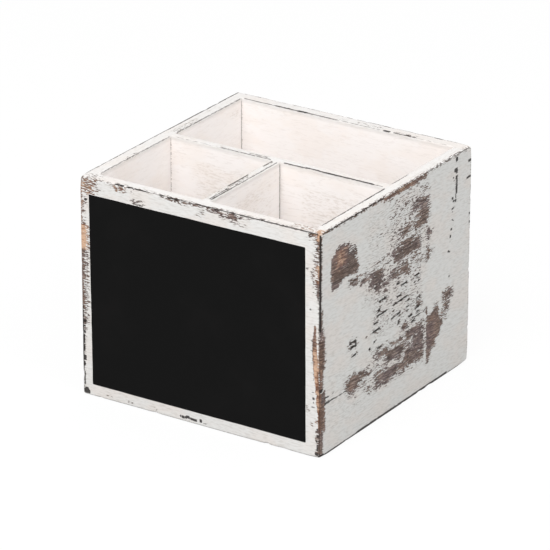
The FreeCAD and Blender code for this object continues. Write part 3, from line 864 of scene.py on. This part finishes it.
def drawn_out(place, length, height, detail, shift=(0, 0, 0)):
    """Noise in streaks of that length and height."""
    scale = (1 / length, 1 / height, 1 / NOISE_DEPTH)
    scaled = place.node("Mapping", {}, {"Vector": place, "Scale": scale, "Location": shift})
    inputs = {"Vector": scaled, "Scale": 1.0, "Detail": detail, "Roughness": NOISE_ROUGHNESS}
    return place.node("TexNoise", {}, inputs)


def surface(start, colour, roughness, normal, **constants):
    """Principled surface on the material's output, with its constants on their own sockets."""
    inputs = {"Base Color": colour, "Roughness": roughness, "Normal": normal}
    inputs.update({name.replace("_", " "): value for name, value in constants.items()})
    shader = start.node("BsdfPrincipled", {}, inputs)
    start.node("OutputMaterial", {}, {"Surface": shader}, None)


# Tones

# Outer paint is greyer as painted shade, inner paint lighter as painted light, both standing for one white
# paint
OUTER_SHADED_COOL = tone(188, 188, 186)
OUTER_SHADED_WARM = tone(190, 186, 182)
INNER_LIT_COOL = tone(247, 243, 241)
INNER_LIT_WARM = tone(245, 239, 235)
PAINT_GRAIN = tone(186, 174, 164)
PAINT_HAZE = tone(142, 138, 133)
INNER_HAZE = tone(176, 160, 142)
BARE_WOOD = tone(107, 91, 83)
MAUVE_WOOD = tone(100, 87, 86)
DARK_WOOD = tone(54, 43, 38)
PALE_WOOD = tone(146, 131, 122)
FRESH_WOOD = tone(190, 157, 132)
FRESH_DEEP = tone(118, 74, 48)
# Colour of the dark strokes: dirt, and painted shade along some edges and in inner corners
DIRT_AND_PAINTED_SHADE = tone(30, 25, 23)
BOARD_BLACK = tone(7, 7, 7)
CHALK_GREY = tone(17, 16, 16)
STEEL = tone(176, 176, 178)
RUST = tone(118, 82, 58)
WHITE = (1, 1, 1, 1)
FLOOR_GREY = (0.86, 0.86, 0.86, 1)

# Noise in the paint and the wood: length, height, detail and shift
STREAK_NOISE = (3.6, 0.8, 2.0)
FIBRE_NOISE = (2.2, 0.55, 1.0)
VEIN_NOISE = (7.0, 0.9, 3.0, (37, 11, 3))
FLAKE_NOISE = (6.0, 3.0, 2.0, (5, 71, 9))
FIGURE_NOISE = (46.0, 7.0, 3.0)
CLOUD_NOISE = (26.0, 15.0, 3.0)
NOISE_DEPTH = 30.0
NOISE_ROUGHNESS = 0.6
NOISE_MIDDLE = 0.5
FINE_DETAIL = 2.0
FIGURE_RINGS = 44.0

# Amounts of a noise, or of fresh wood, in what it breaks up
GRIT_STREAK = 2.0
GRIT_FIBRE = 2.1
GRIT_FLAKE = 0.9
RAGGED_FIBRE = 1.1
RAGGED_STREAK = 0.7
HAIR_FIBRE = 1.6
BRUSH_VEIN = 0.7
HAZE_FIBRE = 0.8
TAWNY_VEIN = 0.4
TAWNY_FRESH = 0.4
FRESH_FLAKE = 0.5
VEIN_FIBRE = 0.5
PORE_STREAK = 0.5

# Smooth steps in the worn paint, as the values where they start and end
GRIT_STEP = (0.05, 0.26)
BARE_STEP = (0.48, 0.54)
BARE_MIDDLE_STEP = (0.5, 0.94)
DIRT_AND_SHADE_EDGE_STEP = (0.38, 0.52)
DIRT_AND_SHADE_STEP = (0.1, 0.75)
HAIR_STEP = (0.72, 1.1)
WARM_STEP = (0.42, 0.64)
BRUSH_STEP = (0.42, 0.74)
HAZE_STEP = (0.02, 0.22)
HAZE_STREAK_STEP = (0.44, 0.72)
TAWNY_STEP = (0.64, 0.9)
MAUVE_STEP = (0.44, 0.58)
PALE_STEP = (0.54, 0.64)
FRESH_STEP = (0.0, 1.0)
VEIN_STEP = (0.5, 0.4)
PORE_STEP = (0.46, 0.34)

# Shares of what shows, some with the loss of it as the painted-light share rises, or on fresh wood
RAGGED_SHOW = (1, 0.55)
BRUSH_INDOORS = (1, 0.9)
BRUSH_SHOW = 0.36
HAZE_SHOW = (0.56, 0.2)
VEIN_SHOW = (0.85, 0.7)
PORE_SHOW = (0.6, 0.35)
BORDER_STAIN_AND_SHADE_SHOW = (0.6, 0.52)
DIRT_AND_SHADE_SHOW = 0.95
OUTER_GRAIN_SHOW = 0.1
INNER_GRAIN_SHOW = 0.16

# Chalkboard paint: noise scales per metre, and the step and shares of the wiped smears
STIPPLE_SCALE = 1500.0
STIPPLE_TONE = 0.3
STIPPLE_ROUGHER = 0.2
STIPPLE_BUMP = 0.3
STIPPLE_HEIGHT = 0.08
SMEAR_SCALE = 26.0
SMEAR_DETAIL = 5.0
SMEAR_BREAKUP = 0.62
SMEAR_STEP = (0.46, 0.8)
SMEAR_SHOW = 0.6
SMEAR_ROUGHER = 0.08
BOARD_ROUGHNESS = 0.66
BOARD_GLOSS = 0.08

# Steel of the brads
BLOOM_SCALE = 420.0
BLOOM_DETAIL = 4.0
SCRATCH_SCALE = 2600.0
RUST_STEP = (0.56, 0.72)
RUST_SHOW = 0.7
RUST_ROUGHER = 0.4
RUST_RELIEF = 0.6
SCRATCH_ROUGHER = 0.2
SCRATCH_BUMP = 0.3
SCRATCH_HEIGHT = 0.05
STEEL_ROUGHNESS = 0.3
STEEL_METAL = 0.9

# Worn paint's gloss and relief. The relief is in shares of the paint's thickness, the bump's distance.
PAINT_ROUGHNESS = 0.52
WOOD_ROUGHER = 0.26
CLOUD_ROUGHER = 0.16
DARK_STROKE_ROUGHER = 0.2
PAINT_GLOSS = 0.32
PAINT_THICKNESS = 0.16
PAINT_BUMP = 0.55
STREAK_RELIEF = 0.4
FIBRE_RELIEF = 0.15
BARE_FIBRE_RELIEF = 0.5
DARK_STROKE_RELIEF = 0.6


# Finishes

def worn_paint(name, grain_show):
    """White paint over brown wood, rubbed through along the grain where the rub channel says so.

    Rub and grit add up to a depth, and the wood is bare where that passes a half. Dirt, and painted shade
    along some edges and in inner corners, lies where the dark strokes, made ragged by the noise, pass a
    limit of their own. The paint is drawn greyer outside as painted shade and lighter inside as painted
    light.
    """
    material, start = new_material(name)
    place = start.node("Attribute", {"attribute_name": "grain"}, {}, "Vector")
    wear_and_painted_light = start.node("Attribute", {"attribute_name": "wear_and_painted_light"}, {}, "Color")
    # Fourth channel: painted light, greyer on the shaded outside and lighter on the lit inside; it also
    # lessens the ragged edges, brush marks and haze
    indoors_and_painted_light = start.node("Attribute", {"attribute_name": "wear_and_painted_light"}, {}, "Alpha")
    parts = ("Red", "Green", "Blue")
    rub, fresh, dark = (start.node("SeparateColor", {}, {"Color": wear_and_painted_light}, part) for part in parts)
    noises = (STREAK_NOISE, FIBRE_NOISE, VEIN_NOISE, FLAKE_NOISE, FIGURE_NOISE, CLOUD_NOISE)
    streak, fibre, vein, flake, figure, cloud = (drawn_out(place, *noise) for noise in noises)

    grit = swing(streak, GRIT_STREAK) + swing(fibre, GRIT_FIBRE) + swing(flake, GRIT_FLAKE)
    depth = rub + grit * ramp(rub, *GRIT_STEP)
    bare = ramp(depth, *BARE_STEP)
    inside = ramp(depth, *BARE_MIDDLE_STEP)
    ragged = swing(fibre, RAGGED_FIBRE) + swing(streak, RAGGED_STREAK)
    torn = dark + ragged * lessened(indoors_and_painted_light, *RAGGED_SHOW)
    line = ramp(torn, *DIRT_AND_SHADE_EDGE_STEP) * ramp(dark, *DIRT_AND_SHADE_STEP)

    contour = figure.math("SINE", figure * FIGURE_RINGS, 0.0)
    hair = ramp(contour + swing(fibre, HAIR_FIBRE), *HAIR_STEP)
    warmth = ramp(cloud, *WARM_STEP)
    # Greyer outer tones are painted shade and lighter inner ones painted light, blended by the painted-light
    # share; the haze tone below follows the same share
    outer = blend(warmth, OUTER_SHADED_COOL, OUTER_SHADED_WARM)
    inner = blend(warmth, INNER_LIT_COOL, INNER_LIT_WARM)
    paint = blend(hair * grain_show, blend(indoors_and_painted_light, outer, inner), PAINT_GRAIN)
    brushed = ramp(streak + swing(vein, BRUSH_VEIN), *BRUSH_STEP) * lessened(indoors_and_painted_light, *BRUSH_INDOORS)
    haze = ramp(rub, *HAZE_STEP) * ramp(streak + swing(fibre, HAZE_FIBRE), *HAZE_STREAK_STEP)
    thin = brushed * BRUSH_SHOW + haze * lessened(indoors_and_painted_light, *HAZE_SHOW)
    paint = blend(thin, paint, blend(indoors_and_painted_light, PAINT_HAZE, INNER_HAZE))

    tawny = ramp(flake + swing(vein, TAWNY_VEIN) + fresh * TAWNY_FRESH, *TAWNY_STEP)
    wood = blend(ramp(cloud, *MAUVE_STEP), BARE_WOOD, MAUVE_WOOD)
    wood = blend(ramp(vein, *PALE_STEP), wood, PALE_WOOD)
    bright = blend(tawny, FRESH_DEEP, FRESH_WOOD)
    wood = blend(ramp(fresh + swing(flake, FRESH_FLAKE), *FRESH_STEP), wood, bright)
    veins = ramp(vein + swing(fibre, VEIN_FIBRE), *VEIN_STEP) * lessened(fresh, *VEIN_SHOW)
    pores = ramp(fibre + swing(streak, PORE_STREAK), *PORE_STEP) * lessened(fresh, *PORE_SHOW)
    # Dark band in the bare wood at the paint's edge: partly stain, partly painted shade below the paint's
    # step
    border = (1 - inside) * lessened(fresh, *BORDER_STAIN_AND_SHADE_SHOW)
    for shade in (veins, pores, border):
        wood = blend(shade, wood, DARK_WOOD)

    # Dark strokes: dirt, partly painted shade along some edges and in inner corners
    colour = blend(line * DIRT_AND_SHADE_SHOW, blend(bare, paint, wood), DIRT_AND_PAINTED_SHADE)
    roughness = PAINT_ROUGHNESS + bare * WOOD_ROUGHER + swing(cloud, CLOUD_ROUGHER) + line * DARK_STROKE_ROUGHER
    fibres = swing(fibre, FIBRE_RELIEF + bare * BARE_FIBRE_RELIEF)
    height = (1 - bare) + swing(streak, STREAK_RELIEF) + fibres - line * DARK_STROKE_RELIEF
    relief = {"Strength": PAINT_BUMP, "Distance": PAINT_THICKNESS * MM, "Height": height}
    surface(start, colour, roughness, start.node("Bump", {}, relief), Specular_IOR_Level=PAINT_GLOSS)
    return material


def chalkboard_paint():
    """Matt black paint with a fine roller stipple, and faint smears where chalk was wiped off."""
    material, start = new_material("chalkboard_paint")
    place = start.node("TexCoord", {}, {}, "Object")
    stipple = start.node("TexNoise", {}, {"Vector": place, "Scale": STIPPLE_SCALE, "Detail": FINE_DETAIL})
    clouds = {"Vector": place, "Scale": SMEAR_SCALE, "Detail": SMEAR_DETAIL, "Roughness": SMEAR_BREAKUP}
    wiped = ramp(start.node("TexNoise", {}, clouds), *SMEAR_STEP)
    colour = blend(wiped * SMEAR_SHOW + swing(stipple, STIPPLE_TONE), BOARD_BLACK, CHALK_GREY)
    roughness = BOARD_ROUGHNESS + swing(stipple, STIPPLE_ROUGHER) + wiped * SMEAR_ROUGHER
    relief = {"Strength": STIPPLE_BUMP, "Distance": STIPPLE_HEIGHT * MM, "Height": stipple}
    surface(start, colour, roughness, start.node("Bump", {}, relief), Specular_IOR_Level=BOARD_GLOSS)
    return material


def brad_steel():
    """Drawn steel wire with fine scratches and a dull bloom of rust."""
    material, start = new_material("brad_steel")
    place = start.node("TexCoord", {}, {}, "Object")
    bloom = start.node("TexNoise", {}, {"Vector": place, "Scale": BLOOM_SCALE, "Detail": BLOOM_DETAIL})
    scratch = start.node("TexNoise", {}, {"Vector": place, "Scale": SCRATCH_SCALE, "Detail": FINE_DETAIL})
    rusty = ramp(bloom, *RUST_STEP)
    colour = blend(rusty * RUST_SHOW, STEEL, RUST)
    roughness = STEEL_ROUGHNESS + rusty * RUST_ROUGHER + swing(scratch, SCRATCH_ROUGHER)
    height = scratch + rusty * RUST_RELIEF
    relief = {"Strength": SCRATCH_BUMP, "Distance": SCRATCH_HEIGHT * MM, "Height": height}
    surface(start, colour, roughness, start.node("Bump", {}, relief), Metallic=STEEL_METAL)
    return material


# Pieces

BOARDS = (
    # Piece, solid, direction of its thickness, finish, and grid steps in x, y and z
    ("front_board", "front_panel", BACKWARD, "worn_white_paint", (2, 1.6, 0.7)),
    ("back_board", "back_panel", BACKWARD, "worn_white_paint", (1.5, 1.6, 0.8)),
    ("left_board", "left_side", ACROSS, "worn_white_paint", (1.6, 1.5, 0.8)),
    ("right_board", "right_side", ACROSS, "worn_white_paint", (1.6, 1.15, 0.56)),
    ("base_board", "base_panel", UPWARD, "inner_white_paint", (2, 2, 1.5)),
    ("cross_board", "cross_divider", BACKWARD, "inner_white_paint", (1.5, 1.2, 1.5)),
    ("centre_board", "centre_divider", ACROSS, "inner_white_paint", (1.2, 1.2, 1.5)),
)
FINER_ZONES = {
    # Start, end and step of finer spans of the grid in x, y and z
    "front_board": (
        ((-76, -62, 0.6), (-56, -34, 0.9), (-14, 6, 0.5), (10, 30, 1.0), (62, 76, 0.6)),
        (),
        ((8, 48, 0.5), (113, 127, 0.35)),
    ),
    "right_board": ((), ((51, 64, 0.55), (28, 36, 0.8)), ()),
}
NO_ZONES = ((), (), ())

# Painted panel. The shifts of its corners are in x and z: lower left, lower right, upper left, upper right.
PANEL_SHIFTS = np.array([(0.45, -0.1), (0.7, 0.25), (-0.2, -0.15), (-0.1, 0.55)])
PANEL_STEP = 1.3
PANEL_CORNER_RADIUS = 0.6
PANEL_WOBBLE = 0.07
PANEL_PROUD = 0.06
PANEL_SWELL = 1.3
PANEL_FEATHER = 1.6
PANEL_WAVES = (
    # Wavelength, seed and share
    (34, 5, 1.0),
    (7, 6, 0.6),
)


def new_piece(name, points, quads, material, attributes):
    """Mesh object in metres, smooth apart from its square edges, with its colour and vector attributes."""
    mesh = bpy.data.meshes.new(name)
    mesh.from_pydata((points * MM).tolist(), [], quads.tolist())
    for attribute, (kind, field, values) in attributes.items():
        layer = mesh.attributes.new(attribute, kind, "POINT")
        layer.data.foreach_set(field, values.astype(np.float32).ravel())
    mesh.shade_smooth()
    mesh.set_sharp_from_angle(angle=SMOOTH_ANGLE)
    mesh.materials.append(material)
    piece = bpy.data.objects.new(name, mesh)
    bpy.context.scene.collection.objects.link(piece)
    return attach(piece, "root")


def painted_light_share(points):
    """How far the paint is drawn lighter as painted light: 0 on the shaded outside, 1 on the lit inside.

    The rim and front have set shares of painted light. Inside it rises in a straight line from the rim down.
    """
    inside = (points > LOW + TINY).all(axis=1) & (points < HIGH - TINY).all(axis=1)
    rim = np.isclose(points[:, UPWARD], HIGH[UPWARD])
    front = np.isclose(points[:, BACKWARD], LOW[BACKWARD])
    below_rim = np.clip((HIGH[UPWARD] - points[:, UPWARD]) / MOUTH_FADE, 0, 1)
    walls = RIM_PAINTED_LIGHT + (1 - RIM_PAINTED_LIGHT) * below_rim
    return np.where(rim, RIM_PAINTED_LIGHT, np.where(front, FRONT_PAINTED_LIGHT, inside * walls))


def board(name, node, thin, steps, material):
    """A board of the box with its eased arrises, its place in the grain, its rubs and dirt, and its painted
    light.
    """
    low, high = box_of(node)
    lines = [grid_lines(*span) for span in zip(low, high, steps, FINER_ZONES.get(name, NO_ZONES))]
    points, quads = box_surface(lines)
    moved = mouths_eased(points, eased(points))
    covers = [cover(points, strokes) for strokes in (RUBS, FRESH, DARK)]
    attributes = {
        # Rubs, fresh wood, and dark strokes that are partly painted shade; the fourth channel is painted
        # light
        "wear_and_painted_light": ("FLOAT_COLOR", "color", np.stack([*covers, painted_light_share(points)], axis=1)),
        "grain": ("FLOAT_VECTOR", "vector", grain_place(points, thin)),
    }
    piece = new_piece(name, moved, quads, material, attributes)
    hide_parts(node)
    return piece


def chalkboard(material):
    """Coat of paint on the front: a thin box whose outline is skewed, rounded and a little unsteady.

    Its corners are shifted by a bilinear blend, and its edge by a ripple that fades inwards. Its face stands
    proud by a constant less a falling exponential of the distance from the edge.
    """
    low, high = box_of("chalkboard_coat")
    flat_low, flat_high = low[[ACROSS, UPWARD]], high[[ACROSS, UPWARD]]
    across, up = (grid_lines(low[axis], high[axis], PANEL_STEP) for axis in (ACROSS, UPWARD))
    points, quads = box_surface([across, np.array([low[BACKWARD], high[BACKWARD]]), up])
    flat = points[:, [ACROSS, UPWARD]]
    rounded, outward = rounded_off(flat, flat_low, flat_high, PANEL_CORNER_RADIUS)
    to_edge = np.minimum(flat - flat_low, flat_high - flat).min(axis=1)
    fade = np.exp(-to_edge / PANEL_FEATHER)
    in_plane = points * (1, 0, 1)
    unsteady = sum(share * ripple(in_plane, length, seed) for length, seed, share in PANEL_WAVES)
    rounded += outward * (PANEL_WOBBLE * unsteady * fade)[:, None]
    share = (flat - flat_low) / (flat_high - flat_low)
    right, upper = share[:, :1], share[:, 1:]
    lower_shift = PANEL_SHIFTS[0] * (1 - right) + PANEL_SHIFTS[1] * right
    upper_shift = PANEL_SHIFTS[2] * (1 - right) + PANEL_SHIFTS[3] * right
    rounded += lower_shift * (1 - upper) + upper_shift * upper
    front = np.isclose(points[:, BACKWARD], low[BACKWARD])
    points[:, BACKWARD] -= np.where(front, PANEL_PROUD * (PANEL_SWELL - fade), 0)
    points[:, [ACROSS, UPWARD]] = rounded
    piece = new_piece("chalkboard", points, quads, material, {})
    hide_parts("chalkboard_coat")
    return piece


def all_pieces():
    """The seven boards, the chalkboard and the brads' finish."""
    finishes = {
        "worn_white_paint": worn_paint("worn_white_paint", OUTER_GRAIN_SHOW),
        "inner_white_paint": worn_paint("inner_white_paint", INNER_GRAIN_SHOW),
    }
    for name, node, thin, slot, steps in BOARDS:
        board(name, node, thin, steps, finishes[slot])
    chalkboard(chalkboard_paint())
    steel = brad_steel()
    for name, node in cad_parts.items():
        if name.endswith("_brads"):
            node.data.materials.clear()
            node.data.materials.append(steel)


# Studio

WORLD_LIGHT = 0.745
LAMPS = (
    # Name, watts, size and place in metres
    ("key", 24.6, 1.3, (0.1, -1.3, 1.55)),
    ("fill", 10.6, 1.2, (1.4, -0.3, 1.3)),
)
FLOOR_HALF = 6.0
FLOOR_WHITE = 0.92
FLOOR_GAP = 0.2
FLOOR_TOUCH = 2.0


def background_rays(start):
    """1 for rays that show the background itself: from the camera, a mirror or glass."""
    kinds = ("Camera", "Glossy", "Transmission")
    camera_ray, glossy, through = (start.node("LightPath", {}, {}, f"Is {kind} Ray") for kind in kinds)
    either = start.math("MAXIMUM", camera_ray, glossy)
    return start.math("MAXIMUM", either, through)


def studio_world():
    """White where it shows, and an even soft light elsewhere."""
    world = bpy.data.worlds.new("studio")
    world.use_nodes = True
    world.node_tree.nodes.clear()
    start = Wire(world.node_tree)
    strength = WORLD_LIGHT + background_rays(start) * (1 - WORLD_LIGHT)
    sky = start.node("Background", {}, {"Color": WHITE, "Strength": strength})
    start.node("OutputWorld", {}, {"Surface": sky}, None)
    bpy.context.scene.world = world


def studio_floor():
    """Pale floor that shows nearly white, keeps the shadow, and lets a view of the underside through."""
    material, start = new_material("pale_floor")
    lit = start.node("BsdfDiffuse", {}, {"Color": FLOOR_GREY})
    white = start.node("Emission", {}, {"Color": WHITE, "Strength": 1.0})
    clear = start.node("BsdfTransparent", {}, {"Color": WHITE})
    below = start.node("NewGeometry", {}, {}, "Backfacing")
    length = start.node("LightPath", {}, {}, "Ray Length")
    touching = start.math("LESS_THAN", length, FLOOR_TOUCH * MM)
    shown = background_rays(start) * FLOOR_WHITE
    upper = start.node("MixShader", {}, {0: shown, 1: lit, 2: white})
    both = start.node("MixShader", {}, {0: start.math("MAXIMUM", below, touching), 1: upper, 2: clear})
    start.node("OutputMaterial", {}, {"Surface": both}, None)
    mesh = bpy.data.meshes.new("floor")
    edge = FLOOR_HALF
    corners = [(-edge, -edge, 0), (edge, -edge, 0), (edge, edge, 0), (-edge, edge, 0)]
    mesh.from_pydata(corners, [], [(0, 1, 2, 3)])
    mesh.materials.append(material)
    floor = bpy.data.objects.new("floor", mesh)
    floor.location.z = (LOW[UPWARD] - FLOOR_GAP) * MM
    bpy.context.scene.collection.objects.link(floor)


def level_axes(back):
    """Directions to the right and up for something that looks against back and stands level."""
    right = np.cross((0, 0, 1), back)
    right /= np.linalg.norm(right)
    return right, np.cross(back, right)


def turned(right, up, back, place):
    """Matrix of an object that looks against back, from a place in metres."""
    columns = [np.append(right, 0), np.append(up, 0), np.append(back, 0), np.append(place, 1)]
    return Matrix(np.stack(columns, axis=1).tolist())


def studio_lamp(name, watts, size, place):
    """One large soft lamp that faces the box."""
    light = bpy.data.lights.new(name, "AREA")
    light.energy = watts
    light.shape = "SQUARE"
    light.size = size
    lamp = bpy.data.objects.new(name, light)
    back = np.array(place) / np.linalg.norm(place)
    lamp.matrix_world = turned(*level_axes(back), back, place)
    bpy.context.scene.collection.objects.link(lamp)


# Camera, from a fit to the box's corners in the photograph
CAMERA_LENS = 274.8
CAMERA_SENSOR = 36.0
CAMERA_AIM = np.array([-0.48, -1.7, 60.75])
CAMERA_DISTANCE = 2272.9
CAMERA_AZIMUTH = math.radians(33.03)
CAMERA_ELEVATION = math.radians(22.97)
CAMERA_ROLL = math.radians(0.1)


def camera():
    """Camera on a sphere round its aim, turned by its roll."""
    level = math.cos(CAMERA_ELEVATION)
    ahead, aside = -math.cos(CAMERA_AZIMUTH) * level, math.sin(CAMERA_AZIMUTH) * level
    back = np.array([aside, ahead, math.sin(CAMERA_ELEVATION)])
    right, up = level_axes(back)
    rolled_right = math.cos(CAMERA_ROLL) * right + math.sin(CAMERA_ROLL) * up
    rolled_up = math.cos(CAMERA_ROLL) * up - math.sin(CAMERA_ROLL) * right
    lens = bpy.data.cameras.new("camera")
    lens.lens = CAMERA_LENS
    lens.sensor_width = CAMERA_SENSOR
    seer = bpy.data.objects.new("camera", lens)
    seer.matrix_world = turned(rolled_right, rolled_up, back, (CAMERA_AIM + back * CAMERA_DISTANCE) * MM)
    bpy.context.scene.collection.objects.link(seer)
    bpy.context.scene.camera = seer


all_pieces()
studio_world()
studio_floor()
for lamp in LAMPS:
    studio_lamp(*lamp)
camera()
bpy.context.scene.view_settings.view_transform = "Standard"
